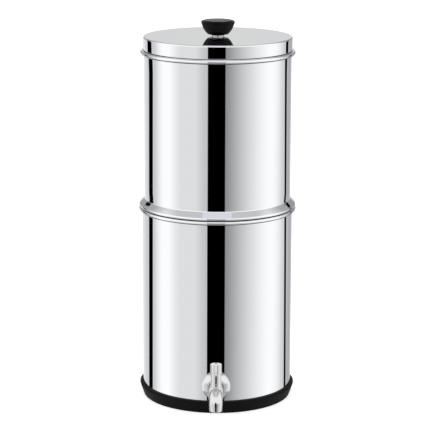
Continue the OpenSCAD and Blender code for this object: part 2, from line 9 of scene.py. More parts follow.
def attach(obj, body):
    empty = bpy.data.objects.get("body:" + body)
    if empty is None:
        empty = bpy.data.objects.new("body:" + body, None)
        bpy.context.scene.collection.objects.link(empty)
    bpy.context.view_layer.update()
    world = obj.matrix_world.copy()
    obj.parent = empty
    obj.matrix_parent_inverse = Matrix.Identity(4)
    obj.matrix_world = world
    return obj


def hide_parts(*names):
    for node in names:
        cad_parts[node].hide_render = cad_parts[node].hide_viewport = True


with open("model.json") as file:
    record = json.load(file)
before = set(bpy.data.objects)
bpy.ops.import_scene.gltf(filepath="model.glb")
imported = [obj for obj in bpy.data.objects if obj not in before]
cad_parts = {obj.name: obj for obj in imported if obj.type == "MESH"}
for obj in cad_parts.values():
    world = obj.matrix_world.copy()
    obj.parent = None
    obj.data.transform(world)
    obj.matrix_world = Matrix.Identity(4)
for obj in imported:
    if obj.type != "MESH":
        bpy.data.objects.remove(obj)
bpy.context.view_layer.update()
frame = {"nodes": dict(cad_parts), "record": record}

mm = 0.001
scene = bpy.context.scene
nodes = frame["nodes"]


def linearColour(hexColour):
    channels = [int(hexColour[i:i + 2], 16) / 255 for i in (1, 3, 5)]
    return tuple(c / 12.92 if c <= 0.04045 else ((c + 0.055) / 1.055) ** 2.4 for c in channels) + (1.0,)


# Adds one node. An input is a value, another node's socket, or a node, whose first output is then used.
def addNode(tree, kind, settings={}, inputs={}):
    node = tree.nodes.new(kind)
    for name, value in settings.items():
        setattr(node, name, value)
    for key, value in inputs.items():
        if isinstance(value, bpy.types.Node):
            value = value.outputs[0]
        if isinstance(value, bpy.types.NodeSocket):
            tree.links.new(value, node.inputs[key])
        else:
            node.inputs[key].default_value = value
    return node


def startMaterial(name, fixed):
    material = bpy.data.materials.new(name)
    material.use_nodes = True
    tree = material.node_tree
    tree.nodes.clear()
    shader = addNode(tree, "ShaderNodeBsdfPrincipled", {}, fixed)
    addNode(tree, "ShaderNodeOutputMaterial", {}, {"Surface": shader})
    return material, tree, shader, addNode(tree, "ShaderNodeTexCoord")


# How often a pattern repeats per metre, from the size of its cells in millimetres.
def cells(x, y, z):
    return (1 / (x * mm), 1 / (y * mm), 1 / (z * mm))


# A bare metal: the marks of its making set the roughness, and may ripple the surface.
def metalFinish(name, colour, cell, roughness, ripple=0.0):
    fixed = {"Base Color": linearColour(colour), "Metallic": 1.0}
    material, tree, shader, where = startMaterial(name, fixed)
    scaled = addNode(tree, "ShaderNodeMapping", {}, {
        "Vector": where.outputs["Object"], "Scale": cells(*cell)})
    marks = addNode(tree, "ShaderNodeTexNoise", {}, {"Vector": scaled, "Scale": 1.0, "Detail": 3.0})
    rough = addNode(tree, "ShaderNodeMapRange", {}, {
        "Value": marks, "From Min": 0.3, "From Max": 0.7, "To Min": roughness[0], "To Max": roughness[1]})
    tree.links.new(rough.outputs[0], shader.inputs["Roughness"])
    if ripple:
        bump = addNode(tree, "ShaderNodeBump", {}, {"Height": marks, "Distance": ripple * mm})
        tree.links.new(bump.outputs[0], shader.inputs["Normal"])
    return material


# A moulded piece: broad patches shift its colour and roughness, and the mould's fine grain lifts its surface.
def mouldedFinish(name, colours, patch, roughness, fine, depth, fixed, contrast=0.2):
    material, tree, shader, where = startMaterial(name, fixed)
    spot = where.outputs["Object"]
    broad = addNode(tree, "ShaderNodeMapping", {}, {"Vector": spot, "Scale": cells(*patch)})
    patches = addNode(tree, "ShaderNodeTexNoise", {}, {"Vector": broad, "Scale": 1.0, "Detail": 3.0})
    spread = addNode(tree, "ShaderNodeMapRange", {}, {
        "Value": patches, "From Min": 0.5 - contrast, "From Max": 0.5 + contrast})
    colour = addNode(tree, "ShaderNodeMix", {"data_type": "RGBA"}, {
        0: spread, 6: linearColour(colours[0]), 7: linearColour(colours[1])})
    rough = addNode(tree, "ShaderNodeMapRange", {}, {
        "Value": spread, "To Min": roughness[0], "To Max": roughness[1]})
    tree.links.new(colour.outputs[2], shader.inputs["Base Color"])
    tree.links.new(rough.outputs[0], shader.inputs["Roughness"])
    close = addNode(tree, "ShaderNodeMapping", {}, {"Vector": spot, "Scale": cells(fine, fine, fine)})
    grain = addNode(tree, "ShaderNodeTexNoise", {}, {"Vector": close, "Scale": 1.0, "Detail": 2.0})
    bump = addNode(tree, "ShaderNodeBump", {}, {"Height": grain, "Distance": depth * mm})
    tree.links.new(bump.outputs[0], shader.inputs["Normal"])
    return material


mirror = {
    "colour": "#f3f4f6", "cell": (70, 70, 5), "roughness": (0.012, 0.03), "satin": 0.36,
    # the near-black colour and the radii over which it fades in are painted shade, for the shadow in the
    # creases between the rims
    "creaseShadeColour": "#141415", "creaseShadeFrom": 101.5, "creaseShadeTo": 102,
}


# Deep-drawn 304 stainless sheet, buffed to a mirror outside: neutral, with very faint buffing lines.
# Inside and underneath the wheel doesn't reach, so it is satin there. Undersides out past the crease radius get
# painted shade: a near-black colour standing for the shadow in the creases under the rims, the ridge and the
# lid's skirt.
def mirrorStainless():
    material = metalFinish("mirrorPolishedStainless304", *(mirror[k] for k in ("colour", "cell", "roughness")))
    tree = material.node_tree
    shader = tree.nodes["Principled BSDF"]
    where = addNode(tree, "ShaderNodeTexCoord")
    level = addNode(tree, "ShaderNodeVectorMath", {"operation": "MULTIPLY"}, {
        0: where.outputs["Object"], 1: (1, 1, 0)})
    radius = addNode(tree, "ShaderNodeVectorMath", {"operation": "LENGTH"}, {0: level})
    outwards = addNode(tree, "ShaderNodeVectorMath", {"operation": "NORMALIZE"}, {0: level})
    lean = addNode(tree, "ShaderNodeVectorMath", {"operation": "DOT_PRODUCT"}, {
        0: where.outputs["Normal"], 1: outwards})
    facing = addNode(tree, "ShaderNodeSeparateXYZ", {}, {0: where.outputs["Normal"]})
    under = addNode(tree, "ShaderNodeMapRange", {}, {
        "Value": facing.outputs["Z"], "From Min": -0.45, "From Max": -0.65})
    inside = addNode(tree, "ShaderNodeMapRange", {}, {
        "Value": lean.outputs["Value"], "From Min": -0.4, "From Max": -0.7})
    # painted shade: faces that point down, out past the crease radius, take the near-black colour that stands
    # for the shadow in the creases
    inCreaseShade = addNode(tree, "ShaderNodeMapRange", {}, {
        "Value": radius.outputs["Value"], "From Min": mirror["creaseShadeFrom"] * mm,
        "From Max": mirror["creaseShadeTo"] * mm})
    paintedCreaseShade = addNode(tree, "ShaderNodeMath", {"operation": "MULTIPLY"}, {0: under, 1: inCreaseShade})
    satin = addNode(tree, "ShaderNodeMath", {"operation": "MAXIMUM"}, {0: under, 1: inside})
    tone = addNode(tree, "ShaderNodeMix", {"data_type": "RGBA"}, {
        0: paintedCreaseShade, 6: linearColour(mirror["colour"]), 7: linearColour(mirror["creaseShadeColour"])})
    tree.links.new(tone.outputs[2], shader.inputs["Base Color"])
    polished = shader.inputs["Roughness"].links[0].from_socket
    dull = addNode(tree, "ShaderNodeMix", {"data_type": "FLOAT"}, {0: satin, 2: polished, 3: mirror["satin"]})
    tree.links.new(dull.outputs[0], shader.inputs["Roughness"])
    return material


finishes = {
    "polished_steel": mirrorStainless(),
    # investment-cast 304, tumbled and buffed: soft reflections over the slight ripple of the casting
    "tap_steel": metalFinish("buffedCastStainless304", "#e0e0e0", (3, 3, 3), (0.05, 0.10), 0.010),
    # bar-turned 304 left as machined: fine rings from the tool, drawn every 0.25 mm
    "plain_steel": metalFinish("turnedStainless304", "#d2d2d2", (6, 6, 0.25), (0.22, 0.38), 0.010),
    "brass": metalFinish("turnedBrass", "#d9b56a", (6, 6, 0.25), (0.20, 0.36), 0.010),
    # EPDM rubber: near black, satin. Its mould's grain is about 0.1 mm, drawn at 0.5 mm so that it shows
    "black_rubber": mouldedFinish("mouldedEpdmRubber", ("#070708", "#0d0d0e"), (14, 14, 9), (0.5, 0.62),
                                  0.5, 0.03, {"Specular IOR Level": 0.12}),
    # nitrile O-rings with a little silicone grease on them
    "seal_rubber": mouldedFinish("greasedNitrileRubber", ("#101010", "#161616"), (2, 2, 2), (0.22, 0.4),
                                 0.3, 0.005, {}),
    # compression-moulded phenolic: black, a semi-gloss skin with a trace of orange peel
    "black_phenolic": mouldedFinish("mouldedPhenolic", ("#050506", "#0a0a0b"), (7, 7, 7), (0.24, 0.34),
                                    1.1, 0.008, {"IOR": 1.55, "Specular IOR Level": 0.08}),
    # carbon block sintered from powder of about 0.3 mm: matt charcoal with paler grains, drawn at 0.9 mm
    "carbon": mouldedFinish("sinteredCarbonBlock", ("#1b1a1a", "#35332f"), (0.9, 0.9, 0.9), (0.95, 0.75),
                            0.7, 0.2, {"Specular IOR Level": 0.25}, 0.15),
    # injection-moulded polypropylene: black, satin
    "filter_plastic": mouldedFinish("mouldedPolypropyleneBlack", ("#151516", "#202021"), (9, 9, 9),
                                    (0.4, 0.5), 0.6, 0.012, {"IOR": 1.49}),
    # food-grade silicone: milky, light passes a little way into it
    "silicone": mouldedFinish("milkySilicone", ("#dededa", "#eaeae6"), (6, 6, 6), (0.36, 0.46), 0.8, 0.004, {
        "IOR": 1.41, "Subsurface Weight": 0.35, "Subsurface Scale": 0.002,
        "Subsurface Radius": (1.0, 0.95, 0.9)}),
    # injection-moulded nylon: off-white, satin, light passes a little way into it
    "white_plastic": mouldedFinish("mouldedNylonNatural", ("#e4e1d8", "#efede6"), (5, 5, 5), (0.35, 0.48),
                                   0.5, 0.010, {
        "IOR": 1.53, "Subsurface Weight": 0.15, "Subsurface Scale": 0.0015,
        "Subsurface Radius": (1.0, 0.9, 0.8)}),
}
for part in frame["record"]["subparts"]:
    cadNode = nodes[part["node"]]
    cadNode.data.materials.clear()
    cadNode.data.materials.append(finishes[part["material_slot"]])
print("finishes made:", len(finishes))


def arcPoints(centre, radius, fromAngle, toAngle, step=9.0):
    count = max(2, ceil(abs(toAngle - fromAngle) / step))
    angles = [radians(fromAngle + (toAngle - fromAngle) * i / count) for i in range(count + 1)]
    return [(centre[0] + radius * cos(a), centre[1] + radius * sin(a)) for a in angles]


# Rounds the corners (x, y, radius) of an outline. Beside each arc, where there is room, goes a point that
# keeps the flat flat.
def roundedOutline(corners, step=9.0, support=0.4, closed=True):
    outline = []
    count = len(corners)
    for i, (x, y, radius) in enumerate(corners):
        here = Vector((x, y))
        ends = not closed and i in (0, count - 1)
        if radius <= 0 or ends:
            outline.append((x, y))
            continue
        before = Vector(corners[i - 1][:2]) - here
        after = Vector(corners[(i + 1) % count][:2]) - here
        lengths = (before.length, after.length)
        before.normalize()
        after.normalize()
        halfAngle = acos(max(-1, min(1, before.dot(after)))) / 2
        run = radius / tan(halfAngle)
        centre = here + (before + after).normalized() * radius / sin(halfAngle)
        start, stop = here + before * run, here + after * run
        a0 = atan2(start.y - centre.y, start.x - centre.x)
        a1 = atan2(stop.y - centre.y, stop.x - centre.x)
        while a1 - a0 > pi:
            a1 -= 2 * pi
        while a0 - a1 > pi:
            a1 += 2 * pi
        if lengths[0] > run + 2.2 * support:
            outline.append(tuple(start + before * support))
        outline += arcPoints(centre, radius, a0 * 180 / pi, a1 * 180 / pi, step)
        if lengths[1] > run + 2.2 * support:
            outline.append(tuple(stop + after * support))
    return outline


def meshObject(name, build, sharpAngle=35):
    bmesh.ops.remove_doubles(build, verts=build.verts, dist=1e-6)
    bmesh.ops.recalc_face_normals(build, faces=build.faces)
    mesh = bpy.data.meshes.new(name)
    build.to_mesh(mesh)
    build.free()
    mesh.polygons.foreach_set("use_smooth", [True] * len(mesh.polygons))
    mesh.set_sharp_from_angle(angle=radians(sharpAngle))
    obj = bpy.data.objects.new(name, mesh)
    scene.collection.objects.link(obj)
    return obj


# Turns a closed half section, (radius, height) in millimetres, about Z.
def turned(name, section, steps=192, place=None, sharpAngle=35):
    build = bmesh.new()
    rings = []
    for radius, height in section:
        if radius < 1e-6:
            rings.append([build.verts.new((0, 0, height * mm))])
        else:
            angles = (2 * pi * k / steps for k in range(steps))
            rings.append([build.verts.new((radius * mm * cos(a), radius * mm * sin(a), height * mm))
                          for a in angles])
    for a, b in zip(rings, rings[1:] + rings[:1]):
        for k in range(steps):
            n = (k + 1) % steps
            if len(a) == 1 and len(b) == 1:
                continue
            if len(a) == 1:
                build.faces.new((a[0], b[k], b[n]))
            elif len(b) == 1:
                build.faces.new((a[k], b[0], a[n]))
            else:
                build.faces.new((a[k], b[k], b[n], a[n]))
    if place:
        build.transform(place)
    return meshObject(name, build, sharpAngle)


# Pushes a flat outline, (x, y) in millimetres, up by depth.
def extruded(name, outline, depth, place=None, sharpAngle=35):
    build = bmesh.new()
    low = [build.verts.new((x * mm, y * mm, 0)) for x, y in outline]
    high = [build.verts.new((x * mm, y * mm, depth * mm)) for x, y in outline]
    build.faces.new(low)
    build.faces.new(high)
    for i in range(len(outline)):
        n = (i + 1) % len(outline)
        build.faces.new((low[i], low[n], high[n], high[i]))
    if place:
        build.transform(place)
    return meshObject(name, build, sharpAngle)


def applied(obj, sharpAngle=35):
    graph = bpy.context.evaluated_depsgraph_get()
    mesh = bpy.data.meshes.new_from_object(obj.evaluated_get(graph))
    old = obj.data
    obj.modifiers.clear()
    obj.data = mesh
    bpy.data.meshes.remove(old)
    mesh.polygons.foreach_set("use_smooth", [True] * len(mesh.polygons))
    mesh.set_sharp_from_angle(angle=radians(sharpAngle))
    return obj


def combined(obj, tools, operation="DIFFERENCE", sharpAngle=35):
    for tool in tools:
        cut = obj.modifiers.new("cut", "BOOLEAN")
        cut.operation = operation
        cut.solver = "EXACT"
        cut.object = tool
    applied(obj, sharpAngle)
    for tool in tools:
        bpy.data.objects.remove(tool)
    return obj


def softEdges(obj, width, segments=3, angle=40):
    bevel = obj.modifiers.new("soft edges", "BEVEL")
    bevel.width = width * mm
    bevel.segments = segments
    bevel.limit_method = "ANGLE"
    bevel.angle_limit = radians(angle)
    return applied(obj, 30)


def finished(obj, body, slotName, *replaced):
    obj.data.materials.clear()
    obj.data.materials.append(finishes[slotName])
    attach(obj, body)
    if replaced:
        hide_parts(*replaced)
    return obj


def moved(x=0, y=0, z=0):
    return Matrix.Translation((x * mm, y * mm, z * mm))


# The half section of a plain rod: a drill, or a boss.
def rodSection(radius, length):
    return [(0, 0), (radius, 0), (radius, length), (0, length)]


alongY = Matrix.Rotation(radians(90), 4, "X")     # turns +Z to -Y, the way the tap points

chamber = {
    "sheet": 0.8, "cornerRadius": 6.0, "bottomZ": 4.0, "rimZ": 280.9, "wallRadius": 108.0, "rimSection": 6.2,
    "rimRun": 0.4, "slit": 0.9, "tapHoleRadius": 8.2, "tapZ": 41.4, "tapBand": 16, "drillLength": 120,
    "steps": 320,
}
upper = {
    "wallRadius": 105.2, "bottomZ": 252.9, "rimZ": 506.4, "rimSection": 6.4, "ridgeZ": 281.2,
    "ridgeRadius": 112.9, "noseRadius": 3.0, "noseZ": 283.5, "slope": 46.0, "slopeFoot": 2.0,
    "stemHoleRadius": 6.4, "spread": 48.0, "drillStart": 2, "drillLength": 6,
}


# The rolled rim from the top of the outer face, over the roll, to the top of the inner face.
def rolledRim(outer, rimZ, section):
    sheet, fold = chamber["sheet"], section / 2
    centre = (outer - sheet + fold, rimZ - fold)
    endX = outer + chamber["slit"]
    innerEnd = -180 + acos((centre[0] - endX) / (fold - sheet)) * 180 / pi
    outerEnd = -180 + acos((centre[0] - endX) / fold) * 180 / pi
    return arcPoints(centre, fold - sheet, 180, innerEnd, 8) + arcPoints(centre, fold, outerEnd, 180, 8)


def lowerSection():
    outer, sheet, low, corner = (chamber[k] for k in ("wallRadius", "sheet", "bottomZ", "cornerRadius"))
    rimFoot = chamber["rimZ"] - chamber["rimSection"] / 2 - chamber["rimRun"]
    overTap, underTap = chamber["tapZ"] + chamber["tapBand"], chamber["tapZ"] - chamber["tapBand"]
    inner = outer - sheet
    outside = roundedOutline([
        (0, low, 0), (outer, low, corner), (outer, underTap, 0), (outer, overTap, 0), (outer, rimFoot, 0)],
        6, closed=False)
    inside = roundedOutline([
        (inner, rimFoot, 0), (inner, overTap, 0), (inner, underTap, 0), (inner, low + sheet, corner - sheet),
        (0, low + sheet, 0)], 6, closed=False)
    return outside + rolledRim(outer, chamber["rimZ"], chamber["rimSection"]) + inside


def upperSection():
    outer, low, slope = upper["wallRadius"], upper["bottomZ"], upper["slope"]
    sheet, corner = chamber["sheet"], chamber["cornerRadius"]
    rimFoot = upper["rimZ"] - upper["rimSection"] / 2 - chamber["rimRun"]
    nose, ridgeZ = upper["noseRadius"], upper["ridgeZ"]
    centre = (upper["ridgeRadius"] - nose, upper["noseZ"])

    def face(inset):       # one face of the sheet, from the bottom's middle up to the rim
        wall, tight = outer - inset, nose - inset
        touch = (centre[0] + tight * sin(radians(slope)), centre[1] + tight * cos(radians(slope)))
        topZ = touch[1] + (touch[0] - wall) * tan(radians(slope))
        cut = asin((centre[1] - ridgeZ - inset) / tight)      # where the nose meets the flat underside
        foot = roundedOutline([(0, low + inset, 0), (wall, low + inset, corner - inset),
                               (wall, ridgeZ + inset, 0.4 if inset == 0 else 1.2),
                               (centre[0] + tight * cos(cut) - 0.25, ridgeZ + inset, 0)], 6, 0.35, closed=False)
        slopeUp = roundedOutline([touch + (0,), (wall, topZ, upper["slopeFoot"] + inset), (wall, rimFoot, 0)],
                                 5, 0.35, closed=False)
        return foot + arcPoints(centre, tight, 5 - cut * 180 / pi, 90 - slope, 8) + slopeUp[1:]

    return face(0) + rolledRim(outer, upper["rimZ"], upper["rimSection"]) + face(sheet)[::-1]


lowerChamber = turned("lowerChamberShell", lowerSection(), chamber["steps"])
tapHole = turned("tapHole", rodSection(chamber["tapHoleRadius"], chamber["drillLength"]), 64,
                 moved(0, 0, chamber["tapZ"]) @ alongY)
finished(combined(lowerChamber, [tapHole]), "base", "polished_steel", "lower_chamber")

upperChamber = turned("upperChamberShell", upperSection(), chamber["steps"])
stemHoles = [turned("stemHole", rodSection(upper["stemHoleRadius"], upper["drillLength"]), 48,
                    moved(upper["spread"] * x, upper["spread"] * y, upper["bottomZ"] - upper["drillStart"]))
             for x, y in ((1, 0), (-1, 0), (0, 1), (0, -1))]
finished(combined(upperChamber, stemHoles), "upper", "polished_steel",
         "upper_chamber", "upper_chamber_ridge", "upper_chamber_pan")

cover = {
    "radius": 106.4, "topZ": 525.8, "skirtZ": 506.7, "edgeRadius": 2.2, "skirtEdge": 1.0, "lipRadius": 103.4,
    "lipZ": 497.7, "screwHole": 2.6,
}


def lidSection():
    sheet, bore, out, lip = chamber["sheet"], cover["screwHole"], cover["radius"], cover["lipRadius"]
    top, edge, skirt, lipZ = (cover[k] for k in ("topZ", "edgeRadius", "skirtZ", "lipZ"))
    return roundedOutline([
        (bore, top, 0), (out, top, edge), (out, skirt, cover["skirtEdge"]), (lip, skirt, 0.3),
        (lip, lipZ, 0.3), (lip - sheet, lipZ, 0.3), (lip - sheet, skirt + sheet, 0.9),
        (out - sheet, skirt + sheet, 0.3), (out - sheet, top - sheet, edge - sheet), (bore, top - sheet, 0)],
        6, 0.35)


finished(turned("lidShell", lidSection(), chamber["steps"]), "cover", "polished_steel", "lid")
print("chambers and lid made")

footRing = {
    "height": 18.2, "floor": 4.0, "ledgeRadius": 94.0, "outRadius": 112.5, "taper": 5.4, "topRound": 2.6,
    "seatRadius": 108.1,
}


def footSection():
    out, top, seat = footRing["outRadius"], footRing["height"], footRing["seatRadius"]
    corner, floorZ = chamber["cornerRadius"], footRing["floor"]
    ledge, topRound = footRing["ledgeRadius"], footRing["topRound"]
    return roundedOutline([
        (ledge, 0, 0.5), (out - footRing["taper"], 0, 1.0), (out, top - topRound, 6.0),
        (out, top, topRound - 0.05), (seat, top, 0.2), (seat, floorZ, corner), (ledge, floorZ, 0.5)], 8, 0.4)


finished(turned("footRing", footSection(), 256), "base", "black_rubber", "base_ring")

knob = {
    "baseZ": 528.6, "height": 18.9, "rimRadius": 23.8, "rimHeight": 3.8, "footRadius": 14.5, "bulge": 1.4,
    "discRadius": 20.5, "discHeight": 0.9, "moat": 0.8, "moatDepth": 0.5, "rimLip": 0.5,
    "insertRadius": 5.05, "insertHeight": 11.39,
}


def knobSection():
    foot = Vector((knob["footRadius"], 0))
    rim = Vector((knob["rimRadius"] - knob["rimLip"], knob["height"] - knob["rimHeight"]))
    chord, bulge = rim - foot, knob["bulge"]
    radius = (chord.length ** 2 / 4 + bulge ** 2) / (2 * bulge)
    centre = (foot + rim) / 2 + (radius - bulge) * Vector((-chord.y, chord.x)).normalized()
    a0, a1 = (atan2(p.y - centre.y, p.x - centre.x) * 180 / pi for p in (foot, rim))
    flank = arcPoints(centre, radius, a0, a1, 3)
    top, disc, out = knob["height"], knob["discRadius"], knob["rimRadius"]
    moat, moatFloor = disc + knob["moat"], top - knob["moatDepth"]
    upperPart = roundedOutline([
        (flank[-1][0], flank[-1][1], 0), (out, flank[-1][1], 0.35), (out, top, 1.0), (moat, top, 0.3),
        (moat, moatFloor, 0.15), (disc, moatFloor, 0.15), (disc, top + knob["discHeight"], 0.5),
        (0, top + knob["discHeight"], 0)], 9, 0.3, closed=False)
    insert, roof = knob["insertRadius"], knob["insertHeight"]
    base = [(0, roof), (insert, roof), (insert, 0), (foot.x - 0.6, 0), (foot.x - 0.15, 0.12)]
    return base + flank[1:-1] + upperPart


knobBody = turned("lidKnobBody", knobSection(), 192, moved(z=knob["baseZ"]))
finished(knobBody, "cover", "black_phenolic", "lid_knob")

spacer = {"radius": 8.8, "neck": 6.8, "height": 2.8, "step": 1.68, "bore": 2.6}
collar = turned("knobCollar", roundedOutline([
    (spacer["bore"], 0, 0.1), (spacer["radius"], 0, 0.25), (spacer["radius"], spacer["step"], 0.4),
    (spacer["neck"], spacer["step"], 0.3), (spacer["neck"], spacer["height"], 0.15),
    (spacer["bore"], spacer["height"], 0.1)], 15, 0.2), 96, moved(z=cover["topZ"]))
finished(collar, "cover", "plain_steel", "knob_spacer")
print("foot ring and knob made")


# A Geometry Nodes tree that winds a pointed ridge up Z, with named inputs for its sizes.
def threadTree():
    tree = bpy.data.node_groups.new("screwThread", "GeometryNodeTree")
    for name, kind, value in (("Radius", "NodeSocketFloat", 0.006), ("Pitch", "NodeSocketFloat", 0.00175),
                              ("Length", "NodeSocketFloat", 0.02), ("Tooth", "NodeSocketFloat", 0.0006),
                              ("Steps", "NodeSocketInt", 32), ("Finish", "NodeSocketMaterial", None)):
        added = tree.interface.new_socket(name, in_out="INPUT", socket_type=kind)
        if value is not None:
            added.default_value = value
    tree.interface.new_socket("Thread", in_out="OUTPUT", socket_type="NodeSocketGeometry")
    given = addNode(tree, "NodeGroupInput").outputs
    turns = addNode(tree, "ShaderNodeMath", {"operation": "DIVIDE"}, {0: given["Length"], 1: given["Pitch"]})
    coil = addNode(tree, "ShaderNodeMath", {"operation": "SUBTRACT"}, {0: given["Radius"], 1: given["Tooth"]})
    helix = addNode(tree, "GeometryNodeCurveSpiral", {}, {
        "Resolution": given["Steps"], "Rotations": turns.outputs[0], "Start Radius": coil.outputs[0],
        "End Radius": coil.outputs[0], "Height": given["Length"]})
    upright = addNode(tree, "GeometryNodeSetCurveNormal", {"mode": "Z_UP"}, {"Curve": helix.outputs[0]})
    tooth = addNode(tree, "GeometryNodeCurvePrimitiveCircle", {"mode": "RADIUS"}, {
        "Resolution": 4, "Radius": given["Tooth"]})
    swept = addNode(tree, "GeometryNodeCurveToMesh", {}, {
        "Curve": upright.outputs[0], "Profile Curve": tooth.outputs[0], "Fill Caps": True})
    real = addNode(tree, "GeometryNodeRealizeInstances", {}, {"Geometry": swept.outputs[0]})
    painted = addNode(tree, "GeometryNodeSetMaterial", {}, {
        "Geometry": real.outputs[0], "Material": given["Finish"]})
    addNode(tree, "NodeGroupOutput", {}, {"Thread": painted.outputs[0]})
    return tree


threads = threadTree()


def thread(name, values, place, body, slotName):
    obj = bpy.data.objects.new(name, bpy.data.meshes.new(name))
    scene.collection.objects.link(obj)
    winding = obj.modifiers.new("winding", "NODES")
    winding.node_group = threads
    values = dict(values, Finish=finishes[slotName])
    for item in threads.interface.items_tree:
        if item.in_out == "INPUT" and item.name in values:
            winding[item.identifier] = values[item.name]
    graph = bpy.context.evaluated_depsgraph_get()
    mesh = bpy.data.meshes.new_from_object(obj.evaluated_get(graph))
    obj.modifiers.clear()
    obj.data = mesh
    mesh.transform(place)
    return finished(obj, body, slotName)


element = {
    "spread": 48.0, "blockRadius": 33.0, "blockBore": 7.0, "blockZ": 268.7, "blockHeight": 190.0,
    "shellRadius": 34.5, "socketGap": 0.1, "capHeight": 9.0, "capSocket": 3.0, "recessRadius": 24.0,
    "recess": 0.8, "baseSocket": 4.0, "washerTopZ": 256.7, "stemRadius": 6.0, "stemLength": 32.0,
    "stemBore": 3.0, "pitch": 1.75, "tooth": 0.55, "runOut": 1.2,
}
plug = {"headRadius": 15.0, "headHeight": 5.0, "endZ": 237.9, "recessRadius": 9.0, "recess": 0.6}


def threadedStem(name, x, y, lowZ, highZ):
    values = {"Radius": element["stemRadius"] * mm, "Pitch": element["pitch"] * mm, "Steps": 36,
              "Tooth": element["tooth"] * mm, "Length": (highZ - lowZ - 2 * element["runOut"]) * mm}
    thread(name, values, moved(x, y, lowZ + element["runOut"]), "upper", "filter_plastic")


def carbonBlock(side, x):
    bore, out, tall = element["blockBore"], element["blockRadius"], element["blockHeight"]
    outline = roundedOutline([(bore, 0, 0.5), (out, 0, 1.0), (out, tall, 1.0), (bore, tall, 0.5)], 15)
    block = turned("carbonBlock_" + side, outline, 160, moved(x, 0, element["blockZ"]))
    finished(block, "upper", "carbon", "filter_block_" + side)


def elementCap(side, x):
    shell, sunk = element["shellRadius"], element["capSocket"]
    seat = element["blockRadius"] + element["socketGap"]
    top, recess, inner = element["capHeight"], element["recess"], element["recessRadius"]
    outline = roundedOutline([
        (0, 0, 0), (seat, 0, 0.3), (seat, -sunk, 0.2), (shell, -sunk, 0.4), (shell, top, 2.0),
        (inner, top, 0.8), (inner - recess, top - recess, 0.8), (0, top - recess, 0)], 10, 0.3)
    place = moved(x, 0, element["blockZ"] + element["blockHeight"])
    capPiece = turned("elementCap_" + side, outline, 160, place)
    finished(capPiece, "upper", "filter_plastic", "filter_cap_" + side)


def elementBase(side, x):
    shell, bore, floorZ, high = (element[k] for k in ("shellRadius", "stemBore", "washerTopZ", "blockZ"))
    seat, core = element["blockRadius"] + element["socketGap"], element["stemRadius"] - element["tooth"]
    low, brim = floorZ - element["stemLength"], high + element["baseSocket"]
    outline = roundedOutline([
        (bore, low, 0.3), (core, low, 0.5), (core, floorZ, 0.4), (shell, floorZ, 0.8), (shell, brim, 0.5),
        (seat, brim, 0.3), (seat, high, 0.3), (bore, high, 0.3)], 10, 0.3)
    basePiece = turned("elementBase_" + side, outline, 160, moved(x))
    finished(basePiece, "upper", "filter_plastic", "filter_base_" + side)
    threadedStem("elementThread_" + side, x, 0, low, floorZ)


def holePlug(side, y):
    core, floorZ, out = element["stemRadius"] - element["tooth"], element["washerTopZ"], plug["headRadius"]
    top, recess, inner, low = floorZ + plug["headHeight"], plug["recess"], plug["recessRadius"], plug["endZ"]
    outline = roundedOutline([
        (0, low, 0), (core, low, 0.6), (core, floorZ, 0.3), (out, floorZ, 0.4), (out, top, 1.0),
        (inner, top, 0.5), (inner - recess, top - recess, 0.5), (0, top - recess, 0)], 12, 0.25)
    plugPiece = turned("holePlug_" + side, outline, 96, moved(0, y))
    finished(plugPiece, "upper", "filter_plastic", "blanking_plug_" + side)
    threadedStem("plugThread_" + side, 0, y, low, floorZ)


for hand, sign in (("left", -1), ("right", 1)):
    carbonBlock(hand, sign * element["spread"])
    elementCap(hand, sign * element["spread"])
    elementBase(hand, sign * element["spread"])
for end, sign in (("front", -1), ("back", 1)):
    holePlug(end, sign * element["spread"])


# A smooth-edged copy of a CAD node, for small moulded and machined pieces.
def dressed(name, nodeName, body, slotName, edge):
    build = bmesh.new()
    build.from_mesh(nodes[nodeName].data)
    bmesh.ops.remove_doubles(build, verts=build.verts, dist=1e-6)
    bmesh.ops.dissolve_limit(build, angle_limit=radians(0.6), verts=build.verts, edges=build.edges)
    return finished(softEdges(meshObject(name, build), edge), body, slotName, nodeName)


for hand in ("left", "right"):
    dressed("wingNut_" + hand, "filter_wing_nut_" + hand, "upper", "white_plastic", 0.5)
for end in ("front", "back"):
    dressed("wingNut_" + end, "plug_wing_nut_" + end, "upper", "white_plastic", 0.5)
print("filters, plugs and wing nuts made")

tap = {
    "z": 41.4, "axisY": -138.0, "bendY": -140.0, "backY": -110.6, "barrelRadius": 10.0, "bendRadius": 13.5,
    "outletRadius": 8.95, "outletZ": 18.6, "outletBore": 6.5, "outletFlare": 0.2, "funnelDepth": 9.3,
    "drillDepth": 13, "bore": 4.5, "bossRadius": 7.8, "bossTop": 54.4, "jointVoxel": 0.4, "jointPasses": 10,
    "shankRadius": 7.9, "shankCut": 0.5, "shankGap": 0.1, "shankEnd": -88.2, "shankPitch": 1.5,
    "shankTooth": 0.48, "shankThread": 20.5,
}


